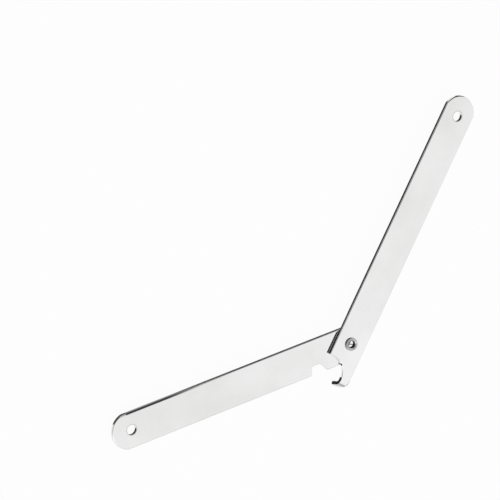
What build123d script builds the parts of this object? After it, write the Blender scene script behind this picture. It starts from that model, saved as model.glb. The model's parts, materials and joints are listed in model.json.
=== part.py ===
from build123d import *
import os
from math import cos, isclose, radians, sin, sqrt, tan

# Folding lid stay: two stamped and plated steel arms that turn on one rivet.
# X runs along the notch arm, from its screw hole to the rivet, and Z runs along the rivet.
# The notch arm lies on Z = 0, the hook arm lies on top of it, and its tab points down.
# All sizes are in millimetres and all angles in degrees.

# Both arms
sheet = 1.5  # thickness of the strip
arm_width = 16.0
notch_arm_reach = 110.0  # from the screw hole to the rivet
hook_arm_reach = 110.0
tip_margin = 9.2  # from the screw hole to the tip of the arm
end_flattening = 0.3  # how much the tip's arc is flatter than a half circle, at its radius
screw_hole = 4.5
rest_angle = 131.2  # between the arms, 180 when they are in line
corner_radius = 0.5  # of the stamped outline's small corners
edge_roll = 0.4  # rounding that stamping leaves round the upper skin
edge_break = 0.2  # chamfer round the lower skin, where tumbling takes off the burr

# Hook arm past the rivet
shoulder = 8.0  # from the rivet to where the full width ends
throat_radius = 8.0  # of the hollow between the shoulder and the tail
tail_width = 5.0
tail_straight = 0.1  # from the throat to the bend
tail_curve = 8.0  # radius in which the tail's outer side curves in to the tab
tail_curve_start = 1.6  # from the start of that curve to the bend
bend_inner = 1.2  # inner radius of the bend
bend_angle = 78.0  # from the strip down to the tab, 90 when square
tab_length = 3.7  # from the end of the bend
tab_corner = 1.0  # radius of the two corners at the tab's end

# Notch, with the room that it leaves on both sides of the seated tab
notch_depth = 4.0
notch_near_room = 1.3
notch_far_room = 1.35
notch_near_slope = 37.0  # of the side towards the rivet, from square to the edge
notch_far_slope = 13.0

# Rivet
shank = 4.0
head_width = 6.8
head_height = 1.1
head_rim = 0.35  # height of the head's edge, where the dome starts
roll_width = 5.8
roll_height = 0.9
hollow = 2.8  # bore of the hollow end
hollow_depth = 1.7  # from the top of the roll to where the bore's straight wall ends
hollow_cone = 0.5  # depth of the cone below it

# Fits
arm_play = 0.05  # between the arms, and between the hook arm and the rolled end
rivet_running = 0.05  # between the shank and the hook arm's hole, at the radius

# Places that follow from the sizes above
half_width = arm_width / 2
end_radius = half_width + end_flattening
notch_floor = half_width - notch_depth
tail_inner = tail_width - half_width
bend_start = shoulder + throat_radius + tail_straight
hook_arm_level = sheet + arm_play
roll_seat = hook_arm_level + sheet + arm_play
bend_turn = radians(bend_angle)
bend_outer = bend_inner + sheet
bend_drop = bend_inner * (1 - cos(bend_turn))  # from the arm's underside to the bend's end
tab_drop = bend_drop + tab_length * sin(bend_turn)

# How far from the rivet the tab's two faces pass the notch arm's back
tab_inner = bend_start + bend_inner * sin(bend_turn) + (hook_arm_level - bend_drop) / tan(bend_turn)
tab_outer = tab_inner + sheet / sin(bend_turn)

# Each arm is drawn in its own frame, from the rivet at the origin to the screw hole on +X.
rivet_place = Pos(notch_arm_reach, 0, 0)
notch_arm_place = rivet_place * Rot(0, 0, 180)
hook_arm_place = rivet_place * Pos(0, 0, hook_arm_level) * Rot(0, 0, 180 - rest_angle)
up = Vector(0, 0, 1)


def tip_points(reach):
    """Start, middle and end of the arc that closes an arm at its screw hole."""
    tip = reach + tip_margin
    arc_start = tip - end_radius + sqrt(end_radius**2 - half_width**2)
    return (arc_start, half_width), (tip, 0), (arc_start, -half_width)


def hole_plug(diameter, x):
    """A plug that cuts a round hole through the sheet, x along the arm."""
    base = (Align.CENTER, Align.CENTER, Align.MIN)
    return Pos(x, 0, 0) * Cylinder(diameter / 2, sheet, align=base)


def skin_outline(arm, normals, bend_radius=None):
    """The edges all round one skin of an arm, without its holes. The skin is the flat faces
    with these normals and the bend of this radius between them."""
    skin = [
        face
        for face in arm.faces().filter_by(GeomType.PLANE)
        if any(face.normal_at().dot(normal) > 0.999 for normal in normals)
    ]
    for face in arm.faces().filter_by(GeomType.CYLINDER):
        across = abs(face.axis_of_rotation.direction.Y) > 0.999
        if across and bend_radius and isclose(face.radius, bend_radius):
            skin.append(face)
    edges = [edge for face in skin for edge in face.edges()]
    single = [edge for edge in edges if sum(edge.is_same(other) for other in edges) == 1]
    return [edge for edge in single if not edge.is_closed]


def seated(radius):
    """How far from the rivet, along the notch arm, a face of the tab comes to lie once the
    tab's inner edge has swung up to the notch's floor."""
    return sqrt(radius**2 + tail_inner**2 - notch_floor**2)


def make_notch_arm():
    """A strip with two round ends, and a four-sided notch in one edge for the tab."""
    near_root = seated(tab_inner) - notch_near_room
    far_root = seated(tab_outer) + notch_far_room
    near_mouth = near_root - notch_depth * tan(radians(notch_near_slope))
    far_mouth = far_root + notch_depth * tan(radians(notch_far_slope))
    arc_start, tip, arc_end = tip_points(notch_arm_reach)
    with BuildSketch() as plan:
        with BuildLine():
            Polyline(
                (0, half_width),
                (near_mouth, half_width),
                (near_root, notch_floor),
                (far_root, notch_floor),
                (far_mouth, half_width),
                arc_start,
            )
            ThreePointArc(arc_start, tip, arc_end)
            Line(arc_end, (0, -half_width))
            ThreePointArc((0, -half_width), (-half_width, 0), (0, half_width))
        make_face()
        corners = plan.vertices().filter_by_position(Axis.Y, notch_floor, half_width)
        fillet(corners.filter_by_position(Axis.X, near_mouth, far_mouth), corner_radius)
    arm = extrude(plan.sketch, sheet)
    arm -= hole_plug(shank, 0)
    arm -= hole_plug(screw_hole, notch_arm_reach)
    arm = arm.solid().fillet(edge_roll, skin_outline(arm, [up]))
    arm = arm.chamfer(edge_break, None, skin_outline(arm, [-up]))
    return notch_arm_place * arm


def make_hook_arm():
    """A strip that narrows past the rivet to a tail, whose end is bent down as a tab."""
    arc_start, tip, arc_end = tip_points(hook_arm_reach)
    throat_end = shoulder + throat_radius
    throat_x = throat_end - throat_radius * sqrt(0.5)
    throat_y = tail_inner + throat_radius * (1 - sqrt(0.5))
    with BuildSketch() as plan:
        with BuildLine():
            Polyline((-shoulder, half_width), arc_start)
            ThreePointArc(arc_start, tip, arc_end)
            Polyline(
                arc_end,
                (-bend_start, -half_width),
                (-bend_start, tail_inner),
                (-throat_end, tail_inner),
            )
            ThreePointArc(
                (-throat_end, tail_inner),
                (-throat_x, throat_y),
                (-shoulder, tail_inner + throat_radius),
            )
            Line((-shoulder, tail_inner + throat_radius), (-shoulder, half_width))
        make_face()
        fillet(plan.vertices().sort_by_distance((-shoulder, half_width))[0], corner_radius)
    arm = extrude(plan.sketch, sheet)

    # The bend and the tab, as one section carried across the tail
    with BuildSketch(Plane.XZ.offset(half_width - tail_width)) as section:
        with BuildLine():
            inner = JernArc((-bend_start, 0), (-1, 0), bend_inner, bend_angle)
            outer = JernArc((-bend_start, sheet), (-1, 0), bend_outer, bend_angle)
            inner_face = Line(inner @ 1, inner @ 1 + tab_length * (inner % 1))
            outer_face = Line(outer @ 1, outer @ 1 + tab_length * (outer % 1))
            Line(inner_face @ 1, outer_face @ 1)
            Line((-bend_start, sheet), (-bend_start, 0))
        make_face()
    arm += extrude(section.sketch, tail_width)

    # The outer side of the tail curves in to the tab
    curve_start = (tail_curve_start - bend_start, -half_width)
    past_tab = bend_start + bend_outer + tab_length
    with BuildSketch(Plane.XY.offset(-tab_drop)) as beyond:
        with BuildLine():
            curve = JernArc(curve_start, (-1, 0), tail_curve, -60)
            Polyline(curve @ 1, (-past_tab, -half_width), curve_start)
        make_face()
    arm -= extrude(beyond.sketch, tab_drop + sheet)
    arm -= hole_plug(shank + 2 * rivet_running, 0)
    arm -= hole_plug(screw_hole, hook_arm_reach)
    arm = arm.solid().clean()

    tab_end = arm.faces().sort_by(Axis.Z)[0]
    arm = arm.fillet(tab_corner, tab_end.edges().sort_by(SortBy.LENGTH)[:2])

    # Both skins run from the flat strip round the bend to the tab
    outward = Vector(-sin(bend_turn), 0, cos(bend_turn))
    arm = arm.fillet(edge_roll, skin_outline(arm, [up, outward], bend_outer))
    arm = arm.chamfer(edge_break, None, skin_outline(arm, [-up, -outward], bend_inner))
    return hook_arm_place * arm


def make_rivet():
    """Low domed head under the notch arm, and a hollow end rolled over on the hook arm."""
    top = roll_seat + roll_height
    roll_edge = roll_height / 2
    roll_crown = (roll_width - roll_height) / 2
    flare = roll_crown - hollow / 2
    bore_end = top - hollow_depth
    with BuildSketch(Plane.XZ) as section:
        with BuildLine():
            TangentArc((0, -head_height), (head_width / 2, -head_rim), tangent=(1, 0))
            Polyline(
                (head_width / 2, -head_rim),
                (head_width / 2, 0),
                (shank / 2, 0),
                (shank / 2, roll_seat),
                (roll_crown, roll_seat),
            )
            ThreePointArc(
                (roll_crown, roll_seat),
                (roll_crown + roll_edge, roll_seat + roll_edge),
                (roll_crown, top),
            )
            JernArc((roll_crown, top), (-1, 0), flare, 90)
            Polyline(
                (hollow / 2, top - flare),
                (hollow / 2, bore_end),
                (0, bore_end - hollow_cone),
                (0, -head_height),
            )
        make_face()
    return rivet_place * revolve(section.sketch, Axis.Z)


os.makedirs("parts", exist_ok=True)
export_step(make_notch_arm(), "parts/notch_arm.step")
export_step(make_hook_arm(), "parts/hook_arm.step")
export_step(make_rivet(), "parts/rivet.step")
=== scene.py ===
import json
import math
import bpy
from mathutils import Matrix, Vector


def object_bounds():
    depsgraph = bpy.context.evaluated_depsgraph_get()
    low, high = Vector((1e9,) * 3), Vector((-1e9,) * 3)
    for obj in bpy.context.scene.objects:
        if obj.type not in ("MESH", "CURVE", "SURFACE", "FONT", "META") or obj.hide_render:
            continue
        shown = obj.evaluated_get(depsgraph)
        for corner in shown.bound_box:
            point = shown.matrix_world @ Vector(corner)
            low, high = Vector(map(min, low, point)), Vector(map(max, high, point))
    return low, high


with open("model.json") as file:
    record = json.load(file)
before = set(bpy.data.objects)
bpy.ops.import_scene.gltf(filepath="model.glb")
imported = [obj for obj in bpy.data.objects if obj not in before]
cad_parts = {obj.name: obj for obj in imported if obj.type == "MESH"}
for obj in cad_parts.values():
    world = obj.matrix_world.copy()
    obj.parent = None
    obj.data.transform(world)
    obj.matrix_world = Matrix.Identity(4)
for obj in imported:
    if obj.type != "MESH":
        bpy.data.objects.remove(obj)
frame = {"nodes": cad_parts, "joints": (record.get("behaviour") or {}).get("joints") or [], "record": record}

from types import SimpleNamespace

import bpy
from mathutils import Matrix, Vector

cad_low, cad_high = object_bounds()

# A folding lid stay of nickel plated steel: two flat arms on one rivet, seen from above as it
# lies. Lengths are in metres. The places of the rivet and the screw holes come from the packed
# model, and each arm's pattern is laid out in the arm's own frame: X from the rivet to the
# screw hole, Y across the strip, Z up from the hook arm's underside.

MM = 0.001

joint = frame["joints"][0]
mounts = {mount["name"]: mount for mount in frame["record"]["mounts"]}
rivet_at = Vector(joint["pos_m"])
notch_arm_line = Vector(mounts["notch_arm_screw_hole"]["pos_m"]) - rivet_at
hook_arm_line = Vector(mounts["hook_arm_screw_hole"]["pos_m"]) - rivet_at


# Colours and nodes

# The Mix node's sockets when it mixes colours
MIX_FIRST = 6
MIX_SECOND = 7
MIX_RESULT = 2


def linear(hex_colour):
    """An sRGB hex colour as the linear colour that a shader takes."""
    channels = [int(hex_colour[place : place + 2], 16) / 255 for place in (1, 3, 5)]
    curve = [c / 12.92 if c <= 0.04045 else ((c + 0.055) / 1.055) ** 2.4 for c in channels]
    return (*curve, 1.0)


def add_node(tree, kind, inputs, **settings):
    """Adds a node and gives its outputs. Each input is a value or the socket it links to."""
    node = tree.nodes.new("ShaderNode" + kind)
    for name, value in settings.items():
        setattr(node, name, value)
    for socket, value in inputs.items():
        if isinstance(value, bpy.types.NodeSocket):
            tree.links.new(value, node.inputs[socket])
        else:
            node.inputs[socket].default_value = value
    return node.outputs


def new_material(name):
    """An empty node material."""
    material = bpy.data.materials.new(name)
    material.use_nodes = True
    material.node_tree.nodes.clear()
    return material, material.node_tree


def axis_distance(tree, place, centre):
    """How far a place is from the upright axis through a centre."""
    offset = add_node(tree, "VectorMath", {0: place, 1: centre}, operation="SUBTRACT")["Vector"]
    flat = add_node(tree, "Mapping", {"Vector": offset, "Scale": (1.0, 1.0, 0.0)})["Vector"]
    return add_node(tree, "VectorMath", {0: flat}, operation="LENGTH")["Value"]


# Zones of a strip. A turn is one component of the surface's normal, from -1 to 1.

HALF_WIDTH = 8.0 * MM
EDGE_START = 6.0 * MM  # the long edges lie further than this from the strip's middle
HOLE_WALL_REACH = 2.6 * MM  # from the screw hole's centre, a little past its radius of 2.25 mm
TIP_START = 113.3 * MM  # where the tip's round wall takes over from the straight walls
TIP_END = 114.5 * MM
WALL_TURN = 0.4  # a surface that is turned up by less than this is a wall
BREAK_TURN = -0.35  # one that is turned down by more is the broken edge below
SIDE_FADE = 0.15  # change of turn over which a dark long edge fades in, torn steel darkened further by painted shade
TIP_FADE = 0.12  # and over which the tip's stretch of painted shade fades in and out


def strip_places(tree, arm_line, far_side):
    """Where a point of a strip lies and which way its surface faces, in the arm's frame. The
    far side is the top left one in the picture, +1 for the frame's +Y and -1 for its -Y."""
    turn = Matrix.Rotation(-math.atan2(arm_line.y, arm_line.x), 3, "Z")
    source = add_node(tree, "TexCoord", {})
    arm_place = {"Rotation": turn.to_euler(), "Location": turn @ -rivet_at}
    along = add_node(tree, "Mapping", {"Vector": source["Object"], **arm_place})["Vector"]
    turned = {"Vector": source["Normal"], "Rotation": turn.to_euler()}
    facing = add_node(tree, "Mapping", turned, vector_type="VECTOR")["Vector"]
    spot = add_node(tree, "SeparateXYZ", {"Vector": along})
    normal = add_node(tree, "SeparateXYZ", {"Vector": facing})
    off_middle = add_node(tree, "Math", {0: spot["Y"]}, operation="ABSOLUTE")["Value"]
    hole_distance = axis_distance(tree, along, (arm_line.xy.length, 0.0, 0.0))
    return SimpleNamespace(
        along=along,
        spot=spot,
        normal=normal,
        world_normal=source["Normal"],
        sideways=add_node(tree, "Math", {0: normal["Y"]}, operation="ABSOLUTE")["Value"],
        far_turn=add_node(
            tree, "Math", {0: normal["Y"], 1: far_side}, operation="MULTIPLY"
        )["Value"],
        far_off=add_node(
            tree, "Math", {0: spot["Y"], 1: far_side}, operation="MULTIPLY"
        )["Value"],
        by_edge=add_node(
            tree, "Math", {0: off_middle, 1: EDGE_START}, operation="GREATER_THAN"
        )["Value"],
        by_hole=add_node(
            tree, "Math", {0: hole_distance, 1: HOLE_WALL_REACH}, operation="LESS_THAN"
        )["Value"],
    )


def torn_and_shaded_outline(tree, at, side_turn, tip_turn):
    """The dark walls of the long edges, torn steel darkened further with painted shade, but not of the
    broken edge below them, and the painted shade on the stretch of the tip's far side between two turns."""
    side = add_node(
        tree,
        "MapRange",
        {"Value": at.sideways, "From Min": side_turn, "From Max": side_turn + SIDE_FADE},
        interpolation_type="SMOOTHSTEP",
    )["Result"]
    # Torn steel on the long edges, darkened further with painted shade for the shaded floor they mirror
    torn_and_shaded_side = add_node(tree, "Math", {0: side, 1: at.by_edge}, operation="MULTIPLY")["Value"]
    tip_from = add_node(
        tree,
        "MapRange",
        {"Value": at.far_turn, "From Min": tip_turn[0], "From Max": tip_turn[0] + TIP_FADE},
        interpolation_type="SMOOTHSTEP",
    )["Result"]
    tip_to = add_node(
        tree,
        "MapRange",
        {
            "Value": at.far_turn,
            "From Min": tip_turn[1],
            "From Max": tip_turn[1] + TIP_FADE,
            "To Min": 1.0,
            "To Max": 0.0,
        },
        interpolation_type="SMOOTHSTEP",
    )["Result"]
    # Painted shade on the stretch of the tip's far side, which faces the dark side of the room
    tip_arc = add_node(tree, "Math", {0: tip_from, 1: tip_to}, operation="MULTIPLY")["Value"]
    off_hole = add_node(tree, "Math", {0: 1.0, 1: at.by_hole}, operation="SUBTRACT")["Value"]
    tip_shade = add_node(tree, "Math", {0: tip_arc, 1: off_hole}, operation="MULTIPLY")["Value"]
    at_tip = add_node(
        tree, "MapRange", {"Value": at.spot["X"], "From Min": TIP_START, "From Max": TIP_END}
    )["Result"]
    outline = add_node(
        tree, "Mix", {0: at_tip, 2: torn_and_shaded_side, 3: tip_shade}, data_type="FLOAT"
    )["Result"]
    not_below = add_node(
        tree, "Math", {0: at.normal["Z"], 1: BREAK_TURN}, operation="GREATER_THAN"
    )["Value"]
    return add_node(tree, "Math", {0: outline, 1: not_below}, operation="MULTIPLY")["Value"]


TAIL_START = -15.0 * MM  # both sides of the hook arm's tail and tab are dark from here on, torn steel darkened further by painted shade
TAIL_TURN = (0.1, 0.3)  # sideways turns between which that darkening fades in
THROAT_SPOT = (-9.95 * MM, -0.1 * MM, 0.0)  # a spot of painted shade half way round the throat
THROAT_SPOT_RIM = (0.4 * MM, 0.75 * MM)  # distances from it over which it fades out
THROAT_TURN = -0.3  # the wall there is turned away from the screw hole by more than this


def torn_and_shaded_tail(tree, at):
    """The dark walls past the rivet: the tail's two sides, torn steel darkened further with painted shade,
    and one spot of painted shade in the throat. The notch arm has nothing there."""
    in_tail = add_node(
        tree, "Math", {0: at.spot["X"], 1: TAIL_START}, operation="LESS_THAN"
    )["Value"]
    # The tail's sides: torn steel, darkened further with painted shade
    tail_side = add_node(
        tree,
        "MapRange",
        {"Value": at.sideways, "From Min": TAIL_TURN[0], "From Max": TAIL_TURN[1]},
        interpolation_type="SMOOTHSTEP",
    )["Result"]
    tail = add_node(tree, "Math", {0: tail_side, 1: in_tail}, operation="MULTIPLY")["Value"]
    # Painted shade: a dark spot in the throat's wall by the notch arm's edge
    in_shade_spot = add_node(
        tree,
        "MapRange",
        {
            "Value": axis_distance(tree, at.along, THROAT_SPOT),
            "From Min": THROAT_SPOT_RIM[0],
            "From Max": THROAT_SPOT_RIM[1],
            "To Min": 1.0,
            "To Max": 0.0,
        },
        interpolation_type="SMOOTHSTEP",
    )["Result"]
    back_side = add_node(
        tree, "Math", {0: at.normal["X"], 1: THROAT_TURN}, operation="LESS_THAN"
    )["Value"]
    throat = add_node(tree, "Math", {0: in_shade_spot, 1: back_side}, operation="MULTIPLY")["Value"]
    return add_node(tree, "Math", {0: tail, 1: throat}, operation="MAXIMUM")["Value"]


HOLE_SHADE_TURN = (-0.15, 0.25)  # along the shared frame's Y, so on the same side of both holes


def shaded_hole(tree, at):
    """Painted shade on the side of the screw hole's wall whose surface faces the shared frame's +Y, so the
    same side in both holes.
    """
    turn = add_node(tree, "SeparateXYZ", {"Vector": at.world_normal})["Y"]
    # Painted shade on one side of the hole's wall
    hole_shade = add_node(
        tree,
        "MapRange",
        {"Value": turn, "From Min": HOLE_SHADE_TURN[0], "From Max": HOLE_SHADE_TURN[1]},
        interpolation_type="SMOOTHSTEP",
    )["Result"]
    return add_node(tree, "Math", {0: at.by_hole, 1: hole_shade}, operation="MULTIPLY")["Value"]


RIM_REFLECTION_FADE = (72 * MM, 92 * MM)  # from the rivet, where the painted rim reflection fades in
RIM_REFLECTION_END = 111.2 * MM  # from the rivet too
RIM_REFLECTION_BAND = (7.0 * MM, 7.3 * MM)  # from the strip's middle, where the line begins


def rim_reflection_stretch(tree, at, rim_reflection):
    """The stretch of an arm before its tip that carries a painted reflection along its far edge, from 0 to
    the strength of its look."""
    fade = add_node(
        tree,
        "MapRange",
        {
            "Value": at.spot["X"],
            "From Min": RIM_REFLECTION_FADE[0],
            "From Max": RIM_REFLECTION_FADE[1],
            "To Min": 0.0,
            "To Max": rim_reflection,
        },
        interpolation_type="SMOOTHSTEP",
    )["Result"]
    before_tip = add_node(
        tree, "Math", {0: at.spot["X"], 1: RIM_REFLECTION_END}, operation="LESS_THAN"
    )["Value"]
    return add_node(tree, "Math", {0: fade, 1: before_tip}, operation="MULTIPLY")["Value"]


def painted_rim_reflection(tree, at, stretch):
    """Painted reflection: a dark line along the upper skin's far rim on that stretch, standing in for the
    rolled rim mirroring the dark side of the room.
    """
    across = add_node(
        tree,
        "MapRange",
        {"Value": at.far_off, "From Min": RIM_REFLECTION_BAND[0], "From Max": RIM_REFLECTION_BAND[1]},
        interpolation_type="SMOOTHSTEP",
    )["Result"]
    upwards = add_node(
        tree, "Math", {0: at.normal["Z"], 1: WALL_TURN}, operation="GREATER_THAN"
    )["Value"]
    rim = add_node(tree, "Math", {0: across, 1: upwards}, operation="MULTIPLY")["Value"]
    return add_node(tree, "Math", {0: rim, 1: stretch}, operation="MULTIPLY")["Value"]


# Colours of a strip

POLISH = 0.22  # how much brighter the clouds are by the rivet
POLISH_FADE = (8 * MM, 45 * MM)  # from the rivet, where that fades out
BEND_FADE = (-18.3 * MM, -17.0 * MM)  # across the tail's bend, where painted shade greys the plate


def face_colour(tree, at, clouds, mottle):
    """Bright nickel, a little darker in the clouds, brighter by the rivet, and greyer from the tail's bend
    to the end of the tab, painted shade for the shaded floor that the bend mirrors."""
    share = add_node(
        tree, "Math", {0: mottle, 1: 0.3, 2: clouds}, operation="MULTIPLY_ADD"
    )["Value"]
    polish = add_node(
        tree,
        "MapRange",
        {
            "Value": at.spot["X"],
            "From Min": POLISH_FADE[0],
            "From Max": POLISH_FADE[1],
            "To Min": POLISH,
            "To Max": 0.0,
        },
        interpolation_type="SMOOTHSTEP",
    )["Result"]
    polished = add_node(tree, "Math", {0: share, 1: polish}, operation="ADD")["Value"]
    shade = add_node(
        tree, "MapRange", {"Value": polished, "From Min": 0.45, "From Max": 0.95}
    )["Result"]
    nickel = add_node(
        tree,
        "Mix",
        {"Factor": shade, MIX_FIRST: linear("#e2e2e1"), MIX_SECOND: linear("#f0f0f0")},
        data_type="RGBA",
    )[MIX_RESULT]
    # Painted shade from the tail's bend on
    bend_shade = add_node(
        tree,
        "MapRange",
        {
            "Value": at.spot["X"],
            "From Min": BEND_FADE[0],
            "From Max": BEND_FADE[1],
            "To Min": 1.0,
            "To Max": 0.0,
        },
        interpolation_type="SMOOTHSTEP",
    )["Result"]
    return add_node(
        tree,
        "Mix",
        {"Factor": bend_shade, MIX_FIRST: nickel, MIX_SECOND: linear("#bdbdbc")},
        data_type="RGBA",
    )[MIX_RESULT]


BURNISH_FADE = (1.0 * MM, 1.3 * MM)  # heights above the strip's underside, where tearing ends
LIP_FADE = (0.4 * MM, 0.55 * MM)  # heights at which the lighter lower lip, a painted highlight, ends
LIP_HIGHLIGHT_REACH = 12 * MM  # along the arm, to both sides of the rivet


def wall_colour(tree, at, marks, underside, burnish, stretch):
    """Torn dark steel below a burnished band that follows the upper skin; the same colours serve for the
    painted shade on the walls and the painted rim reflection. The lower lip is lighter grey on both sides of
    the rivet, a painted highlight, and the long edges' walls below the painted rim reflection are pale."""
    height = add_node(
        tree, "Math", {0: at.spot["Z"], 1: underside}, operation="SUBTRACT"
    )["Value"]
    burnished = add_node(
        tree,
        "MapRange",
        {"Value": height, "From Min": BURNISH_FADE[0], "From Max": BURNISH_FADE[1]},
        interpolation_type="SMOOTHSTEP",
    )["Result"]
    tear_shade = add_node(
        tree,
        "MapRange",
        {"Value": marks, "From Min": 0.35, "From Max": 0.65},
        interpolation_type="SMOOTHSTEP",
    )["Result"]
    # The torn steel's dark, also used for the painted shade and the painted rim reflection
    torn = add_node(
        tree,
        "Mix",
        {"Factor": tear_shade, MIX_FIRST: linear("#101011"), MIX_SECOND: linear("#2b2b2c")},
        data_type="RGBA",
    )[MIX_RESULT]
    sheared = add_node(
        tree,
        "Mix",
        {"Factor": burnished, MIX_FIRST: torn, MIX_SECOND: linear(burnish)},
        data_type="RGBA",
    )[MIX_RESULT]
    from_rivet = add_node(tree, "Math", {0: at.spot["X"]}, operation="ABSOLUTE")["Value"]
    by_rivet = add_node(
        tree, "Math", {0: from_rivet, 1: LIP_HIGHLIGHT_REACH}, operation="LESS_THAN"
    )["Value"]
    low_lip = add_node(
        tree,
        "MapRange",
        {
            "Value": height,
            "From Min": LIP_FADE[0],
            "From Max": LIP_FADE[1],
            "To Min": 1.0,
            "To Max": 0.0,
        },
        interpolation_type="SMOOTHSTEP",
    )["Result"]
    # Painted highlight: the lower lip is lighter grey by the rivet
    lip_highlight = add_node(tree, "Math", {0: by_rivet, 1: low_lip}, operation="MULTIPLY")["Value"]
    with_lip = add_node(
        tree,
        "Mix",
        {"Factor": lip_highlight, MIX_FIRST: sheared, MIX_SECOND: linear("#8a8a8b")},
        data_type="RGBA",
    )[MIX_RESULT]
    upright = add_node(
        tree, "Math", {0: at.normal["Z"], 1: WALL_TURN}, operation="LESS_THAN"
    )["Value"]
    edge_wall = add_node(tree, "Math", {0: upright, 1: at.by_edge}, operation="MULTIPLY")["Value"]
    pale = add_node(tree, "Math", {0: edge_wall, 1: stretch}, operation="MULTIPLY")["Value"]
    return add_node(
        tree,
        "Mix",
        {"Factor": pale, MIX_FIRST: with_lip, MIX_SECOND: linear("#8e8e8f")},
        data_type="RGBA",
    )[MIX_RESULT]


ROLL_CHANGE = (50 * MM, 90 * MM)  # from the rivet, where the roll-off changes width


def roll_off(tree, at, roll_widths, roll_slope):
    """The skins' fall towards the far edge, as a height in metres. It is a parabola that
    reaches the slope at the edge. Its two widths are those by the rivet and by the tip."""
    width = add_node(
        tree,
        "MapRange",
        {
            "Value": at.spot["X"],
            "From Min": ROLL_CHANGE[0],
            "From Max": ROLL_CHANGE[1],
            "To Min": roll_widths[0],
            "To Max": roll_widths[1],
        },
        interpolation_type="SMOOTHSTEP",
    )["Result"]
    start = add_node(tree, "Math", {0: HALF_WIDTH, 1: width}, operation="SUBTRACT")["Value"]
    past_start = add_node(tree, "Math", {0: at.far_off, 1: start}, operation="SUBTRACT")["Value"]
    reach = add_node(tree, "Math", {0: past_start, 1: 0.0}, operation="MAXIMUM")["Value"]
    share = add_node(tree, "Math", {0: reach, 1: width}, operation="DIVIDE")["Value"]
    parabola = add_node(tree, "Math", {0: share, 1: reach}, operation="MULTIPLY")["Value"]
    return add_node(
        tree, "Math", {0: parabola, 1: -roll_slope / 2}, operation="MULTIPLY"
    )["Value"]


CLOUD_SIZE = 38 * MM
MOTTLE_SIZE = 7 * MM
GRAIN_SIZE = 0.5 * MM  # across the strip
GRAIN_STRETCH = (0.03, 1.0, 1.0)
MARK_SIZE = 0.9 * MM
RELIEF = 0.0008 * MM  # height of the rolling grain and the tumbling marks
TORN_ROUGH = 0.3  # how much rougher the dark places are than a face, torn walls and painted ones alike


def plated_strip(
    name,
    arm_line,
    far_side,
    underside,
    side_turn,
    tip_turn,
    burnish,
    rim_reflection,
    roll_widths,
    roll_slope,
    cloud_shift,
):
    """Bright nickel on cold rolled steel strip, blanked and tumbled. The faces are near mirrors, clouded
    where the nickel is a little duller, with a faint rolling grain along the strip, and they roll off
    towards the far edge. The walls of the long edges and of the tail are torn and thinly plated, so a little
    darker, and painted darker still as shade; part of the tip's wall, one spot in the throat and one side of
    the screw hole are painted dark as shade, and on the stretch before the tip a dark line along the far rim
    is a painted reflection. The other walls in the throat, the notch and the tip keep the bright nickel."""
    material, tree = new_material(name)
    at = strip_places(tree, arm_line, far_side)
    stretch = rim_reflection_stretch(tree, at, rim_reflection)
    outline = torn_and_shaded_outline(tree, at, side_turn, tip_turn)
    tail = torn_and_shaded_tail(tree, at)
    torn_and_shaded_edge = add_node(tree, "Math", {0: outline, 1: tail}, operation="MAXIMUM")["Value"]
    hole = shaded_hole(tree, at)
    torn_and_shaded_wall = add_node(tree, "Math", {0: torn_and_shaded_edge, 1: hole}, operation="MAXIMUM")["Value"]
    # Painted reflection: a dark line along the far rim
    line = painted_rim_reflection(tree, at, stretch)
    dark = add_node(tree, "Math", {0: torn_and_shaded_wall, 1: line}, operation="MAXIMUM")["Value"]

    # Clouds in the nickel, rolling grain, and the small marks of tumbling
    shift = {"Vector": at.along, "Location": (cloud_shift, cloud_shift, 0.0)}
    shifted = add_node(tree, "Mapping", shift)["Vector"]
    clouds = add_node(
        tree,
        "TexNoise",
        {"Vector": shifted, "Scale": 1 / CLOUD_SIZE, "Detail": 1.0, "Roughness": 0.4},
    )["Fac"]
    mottle = add_node(
        tree,
        "TexNoise",
        {"Vector": shifted, "Scale": 1 / MOTTLE_SIZE, "Detail": 2.0, "Roughness": 0.5},
    )["Fac"]
    stretched = add_node(
        tree, "Mapping", {"Vector": at.along, "Scale": GRAIN_STRETCH}
    )["Vector"]
    grain = add_node(
        tree,
        "TexNoise",
        {"Vector": stretched, "Scale": 1 / GRAIN_SIZE, "Detail": 4.0, "Roughness": 0.7},
    )["Fac"]
    marks = add_node(
        tree,
        "TexNoise",
        {"Vector": at.along, "Scale": 1 / MARK_SIZE, "Detail": 2.0, "Roughness": 0.6},
    )["Fac"]

    nickel = face_colour(tree, at, clouds, mottle)
    walls = wall_colour(tree, at, marks, underside, burnish, stretch)
    # The dark places, torn and painted alike, take the wall colours
    colour = add_node(
        tree, "Mix", {"Factor": dark, MIX_FIRST: nickel, MIX_SECOND: walls}, data_type="RGBA"
    )[MIX_RESULT]

    # Gloss, duller in the mottle and on the dark places, torn and painted alike
    face_rough = add_node(
        tree,
        "MapRange",
        {"Value": mottle, "From Min": 0.3, "From Max": 0.7, "To Min": 0.06, "To Max": 0.11},
    )["Result"]
    rough = add_node(
        tree, "Math", {0: dark, 1: TORN_ROUGH, 2: face_rough}, operation="MULTIPLY_ADD"
    )["Value"]

    relief = add_node(
        tree, "Math", {0: grain, 1: 0.5, 2: marks}, operation="MULTIPLY_ADD"
    )["Value"]
    fall = roll_off(tree, at, roll_widths, roll_slope)
    height = add_node(
        tree, "Math", {0: relief, 1: RELIEF, 2: fall}, operation="MULTIPLY_ADD"
    )["Value"]
    bump = add_node(tree, "Bump", {"Height": height, "Strength": 1.0, "Distance": 1.0})["Normal"]

    shader = add_node(
        tree,
        "BsdfPrincipled",
        {"Base Color": colour, "Metallic": 1.0, "Roughness": rough, "Normal": bump},
    )
    add_node(tree, "OutputMaterial", {"Surface": shader["BSDF"]})
    return material


# Rivet

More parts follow.
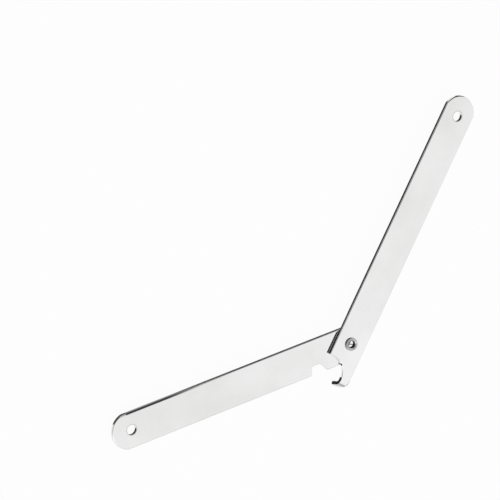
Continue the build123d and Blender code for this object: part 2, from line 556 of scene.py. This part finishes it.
BORE_RADIUS = 1.4 * MM
BORE_RIM = (BORE_RADIUS + 0.05 * MM, BORE_RADIUS + 0.35 * MM)  # where the bore wall's painted shade ends
FLOOR_RADIUS = BORE_RADIUS + 0.02 * MM
FLOOR_LEVEL = 0.8 * MM  # the floor is below this and above the hook arm's underside, at 0
REFLECTION_LINE_ACROSS = (0.323, 0.946, 0.0)  # the level direction square to the painted reflection line
REFLECTION_LINE_OFFSET = 0.3 * MM  # from the axis
REFLECTION_LINE_RIM = (0.1 * MM, 0.25 * MM)  # distances from its middle over which it fades out
FLANK = (2.45 * MM, 2.6 * MM)  # radii between which the rolled end gets rougher
FLANK_ROUGH = 0.35
CROWN = (2.4 * MM, 2.8 * MM)  # radii between which bump lifts the rolled end's flank
CROWN_RISE = 0.3 * MM
RIVET_MARK_SIZE = 0.6 * MM
RIVET_MARK_HEIGHT = 0.006 * MM


def plated_rivet(name):
    """Bright nickel on a cold headed steel rivet, a little duller than the strip where the tool has rolled
    its hollow end over. The wall of the hollow is painted dark as shade, and its floor is pressed bright,
    with a painted dark reflection line across."""
    material, tree = new_material(name)
    place = add_node(tree, "TexCoord", {})["Object"]
    centred = add_node(tree, "Mapping", {"Vector": place, "Location": -rivet_at})["Vector"]
    radius = axis_distance(tree, centred, (0.0, 0.0, 0.0))
    level = add_node(tree, "SeparateXYZ", {"Vector": centred})["Z"]

    # The bore's wall with its painted shade, its floor, and the painted reflection line across the floor
    in_bore = add_node(
        tree,
        "MapRange",
        {
            "Value": radius,
            "From Min": BORE_RIM[0],
            "From Max": BORE_RIM[1],
            "To Min": 1.0,
            "To Max": 0.0,
        },
        interpolation_type="SMOOTHSTEP",
    )["Result"]
    above_floor = add_node(
        tree, "Math", {0: level, 1: FLOOR_LEVEL}, operation="GREATER_THAN"
    )["Value"]
    # Painted shade on the bore's wall
    bore_shade = add_node(tree, "Math", {0: in_bore, 1: above_floor}, operation="MULTIPLY")["Value"]
    at_floor = add_node(tree, "Math", {0: level, 1: FLOOR_LEVEL}, operation="LESS_THAN")["Value"]
    over_head = add_node(tree, "Math", {0: level, 1: 0.0}, operation="GREATER_THAN")["Value"]
    near_axis = add_node(tree, "Math", {0: radius, 1: FLOOR_RADIUS}, operation="LESS_THAN")["Value"]
    floor_zone = add_node(tree, "Math", {0: at_floor, 1: over_head}, operation="MULTIPLY")["Value"]
    bore_floor = add_node(tree, "Math", {0: floor_zone, 1: near_axis}, operation="MULTIPLY")["Value"]
    # Painted reflection: a dark line across the floor between its two glints
    across = add_node(
        tree, "VectorMath", {0: centred, 1: REFLECTION_LINE_ACROSS}, operation="DOT_PRODUCT"
    )["Value"]
    off_reflection_line = add_node(tree, "Math", {0: across, 1: REFLECTION_LINE_OFFSET}, operation="ADD")["Value"]
    from_reflection_line = add_node(tree, "Math", {0: off_reflection_line}, operation="ABSOLUTE")["Value"]
    reflection_line_fade = add_node(
        tree,
        "MapRange",
        {
            "Value": from_reflection_line,
            "From Min": REFLECTION_LINE_RIM[0],
            "From Max": REFLECTION_LINE_RIM[1],
            "To Min": 1.0,
            "To Max": 0.0,
        },
        interpolation_type="SMOOTHSTEP",
    )["Result"]
    floor_reflection_line = add_node(tree, "Math", {0: reflection_line_fade, 1: bore_floor}, operation="MULTIPLY")["Value"]

    marks = add_node(
        tree,
        "TexNoise",
        {"Vector": centred, "Scale": 1 / RIVET_MARK_SIZE, "Detail": 3.0, "Roughness": 0.6},
    )["Fac"]
    shade = add_node(
        tree,
        "MapRange",
        {"Value": marks, "From Min": 0.3, "From Max": 0.7},
        interpolation_type="SMOOTHSTEP",
    )["Result"]
    skin = add_node(
        tree,
        "Mix",
        {"Factor": shade, MIX_FIRST: linear("#b2b2b1"), MIX_SECOND: linear("#cdcdcc")},
        data_type="RGBA",
    )[MIX_RESULT]
    with_floor = add_node(
        tree,
        "Mix",
        {"Factor": bore_floor, MIX_FIRST: skin, MIX_SECOND: linear("#f2f2f2")},
        data_type="RGBA",
    )[MIX_RESULT]
    with_reflection_line = add_node(
        tree,
        "Mix",
        {"Factor": floor_reflection_line, MIX_FIRST: with_floor, MIX_SECOND: linear("#3a3a3b")},
        data_type="RGBA",
    )[MIX_RESULT]
    colour = add_node(
        tree,
        "Mix",
        {"Factor": bore_shade, MIX_FIRST: with_reflection_line, MIX_SECOND: linear("#1c1c1d")},
        data_type="RGBA",
    )[MIX_RESULT]

    skin_rough = add_node(
        tree,
        "MapRange",
        {"Value": marks, "From Min": 0.2, "From Max": 0.8, "To Min": 0.1, "To Max": 0.2},
    )["Result"]
    flank_rough = add_node(
        tree,
        "MapRange",
        {
            "Value": radius,
            "From Min": FLANK[0],
            "From Max": FLANK[1],
            "To Min": 0.0,
            "To Max": FLANK_ROUGH,
        },
        interpolation_type="SMOOTHSTEP",
    )["Result"]
    rough = add_node(
        tree, "Math", {0: flank_rough, 1: over_head, 2: skin_rough}, operation="MULTIPLY_ADD"
    )["Value"]
    past_crown = add_node(
        tree,
        "MapRange",
        {
            "Value": radius,
            "From Min": CROWN[0],
            "From Max": CROWN[1],
            "To Min": 0.0,
            "To Max": CROWN_RISE,
        },
    )["Result"]
    rise = add_node(tree, "Math", {0: past_crown, 1: over_head}, operation="MULTIPLY")["Value"]
    height = add_node(
        tree, "Math", {0: marks, 1: RIVET_MARK_HEIGHT, 2: rise}, operation="MULTIPLY_ADD"
    )["Value"]
    bump = add_node(tree, "Bump", {"Height": height, "Strength": 1.0, "Distance": 1.0})["Normal"]
    shader = add_node(
        tree,
        "BsdfPrincipled",
        {"Base Color": colour, "Metallic": 1.0, "Roughness": rough, "Normal": bump},
    )
    add_node(tree, "OutputMaterial", {"Surface": shader["BSDF"]})
    return material


def dress(node, material):
    """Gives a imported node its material."""
    mesh = frame["nodes"][node].data
    mesh.materials.clear()
    mesh.materials.append(material)


notch_arm_skin = plated_strip(
    "nickel_plated_strip_notch_arm",
    notch_arm_line,
    far_side=-1.0,
    underside=-rivet_at.z,
    side_turn=0.55,
    tip_turn=(0.55, 1.1),
    burnish="#4c4c4e",
    rim_reflection=1.0,
    roll_widths=(0.9 * MM, 2.6 * MM),
    roll_slope=0.66,
    cloud_shift=0.013,
)
hook_arm_skin = plated_strip(
    "nickel_plated_strip_hook_arm",
    hook_arm_line,
    far_side=1.0,
    underside=0.0,
    side_turn=0.74,
    tip_turn=(0.02, 0.58),
    burnish="#3c3c3e",
    rim_reflection=0.0,
    roll_widths=(1.2 * MM, 1.2 * MM),
    roll_slope=0.56,
    cloud_shift=0.041,
)
dress("notch_arm", notch_arm_skin)
dress("hook_arm", hook_arm_skin)
dress("rivet", plated_rivet("nickel_plated_rivet"))


# Studio

PAPER_WHITE = 0.95  # how much of the paper is seen as pure white
FLOOR_SIZE = 6.0
FLOOR_GAP = 0.2 * MM  # below the stay's lowest point


def seamless_paper(name):
    """White seamless paper, matt. What is seen of it, straight or mirrored, is mostly pure
    white, and the rest is the paper itself, which keeps the soft shadow of the stay."""
    material, tree = new_material(name)
    paper = add_node(
        tree, "BsdfPrincipled", {"Base Color": linear("#f4f4f4"), "Roughness": 0.9}
    )["BSDF"]
    path = add_node(tree, "LightPath", {})
    mirrored = add_node(
        tree, "Math", {0: path["Is Camera Ray"], 1: path["Is Glossy Ray"]}, operation="MAXIMUM"
    )["Value"]
    seen = add_node(
        tree, "Math", {0: mirrored, 1: path["Is Transmission Ray"]}, operation="MAXIMUM"
    )["Value"]
    share = add_node(tree, "Math", {0: seen, 1: PAPER_WHITE}, operation="MULTIPLY")["Value"]
    white = add_node(tree, "Emission", {"Color": (1, 1, 1, 1), "Strength": 1.0})["Emission"]
    surface = add_node(tree, "MixShader", {0: share, 1: paper, 2: white})["Shader"]
    add_node(tree, "OutputMaterial", {"Surface": surface})
    return material


bpy.ops.object.select_all(action="DESELECT")
floor_height = cad_low[2] - FLOOR_GAP
bpy.ops.mesh.primitive_plane_add(size=FLOOR_SIZE, location=(rivet_at.x, rivet_at.y, floor_height))
floor = bpy.context.object
floor.name = "studio_floor"
floor.data.materials.append(seamless_paper("white_seamless_paper"))

DARK_SIDE = Vector((-0.45, 0.89, 0.0))  # towards the top left of the picture
OPENING_LEAN = (0.05, 0.45)  # how far a direction leans that way where the opening fades in
PALE_HEIGHT = 0.5  # upward part of a direction from which the tent is white


def light_tent():
    """A white tent of light, greyer towards the horizon, and open on one side, where a grey
    room shows."""
    world = bpy.data.worlds.new("light_tent")
    bpy.context.scene.world = world
    world.use_nodes = True
    tree = world.node_tree
    tree.nodes.clear()
    direction = add_node(tree, "TexCoord", {})["Generated"]
    side = add_node(
        tree, "VectorMath", {0: direction, 1: DARK_SIDE}, operation="DOT_PRODUCT"
    )["Value"]
    height = add_node(tree, "SeparateXYZ", {"Vector": direction})["Z"]
    pale = add_node(
        tree,
        "MapRange",
        {"Value": height, "From Min": 0.0, "From Max": PALE_HEIGHT},
        interpolation_type="SMOOTHSTEP",
    )["Result"]
    tent = add_node(
        tree,
        "Mix",
        {"Factor": pale, MIX_FIRST: linear("#aeaeb0"), MIX_SECOND: linear("#ffffff")},
        data_type="RGBA",
    )[MIX_RESULT]
    opening = add_node(
        tree,
        "MapRange",
        {"Value": side, "From Min": OPENING_LEAN[0], "From Max": OPENING_LEAN[1]},
        interpolation_type="SMOOTHSTEP",
    )["Result"]
    colour = add_node(
        tree,
        "Mix",
        {"Factor": opening, MIX_FIRST: tent, MIX_SECOND: linear("#808082")},
        data_type="RGBA",
    )[MIX_RESULT]
    sky = add_node(tree, "Background", {"Color": colour, "Strength": 1.0})
    add_node(tree, "OutputWorld", {"Surface": sky["Background"]})


def softbox(name, place, size, power):
    """A square lamp that faces the rivet."""
    lamp = bpy.data.lights.new(name, "AREA")
    lamp.size = size
    lamp.energy = power
    lamp_object = bpy.data.objects.new(name, lamp)
    bpy.context.scene.collection.objects.link(lamp_object)
    lamp_object.location = place
    lamp_object.rotation_euler = (place - rivet_at).to_track_quat("Z", "Y").to_euler()


light_tent()
softbox("softbox_left", rivet_at + Vector((-0.8, -0.9, 1.3)), size=0.8, power=1.5)


# Camera, at the photograph's viewing angle

VIEW_BACK = Vector((-0.4301, 0.3340, 0.8388))  # from the stay towards the camera
VIEW_UP = Vector((0.3162, 0.9259, -0.2065))
CAMERA_DISTANCE = 1.219
RIVET_RIGHT = 0.04262  # the rivet's place in the picture, from its centre
RIVET_DOWN = 0.04046
FOCAL_PIXELS = 2787.0
PICTURE_PIXELS = 500.0

back = VIEW_BACK.normalized()
right = VIEW_UP.cross(back).normalized()
up = back.cross(right)
camera_data = bpy.data.cameras.new("camera")
camera_data.sensor_width = 36.0
camera_data.lens = camera_data.sensor_width * FOCAL_PIXELS / PICTURE_PIXELS
camera = bpy.data.objects.new("camera", camera_data)
bpy.context.scene.collection.objects.link(camera)
rivet_foot = Vector((rivet_at.x, rivet_at.y, 0.0))
eye = rivet_foot + back * CAMERA_DISTANCE - right * RIVET_RIGHT + up * RIVET_DOWN
turned = Matrix((right, up, back)).transposed().to_4x4()
camera.matrix_world = Matrix.Translation(eye) @ turned
bpy.context.scene.camera = camera
bpy.context.scene.view_settings.view_transform = "Standard"
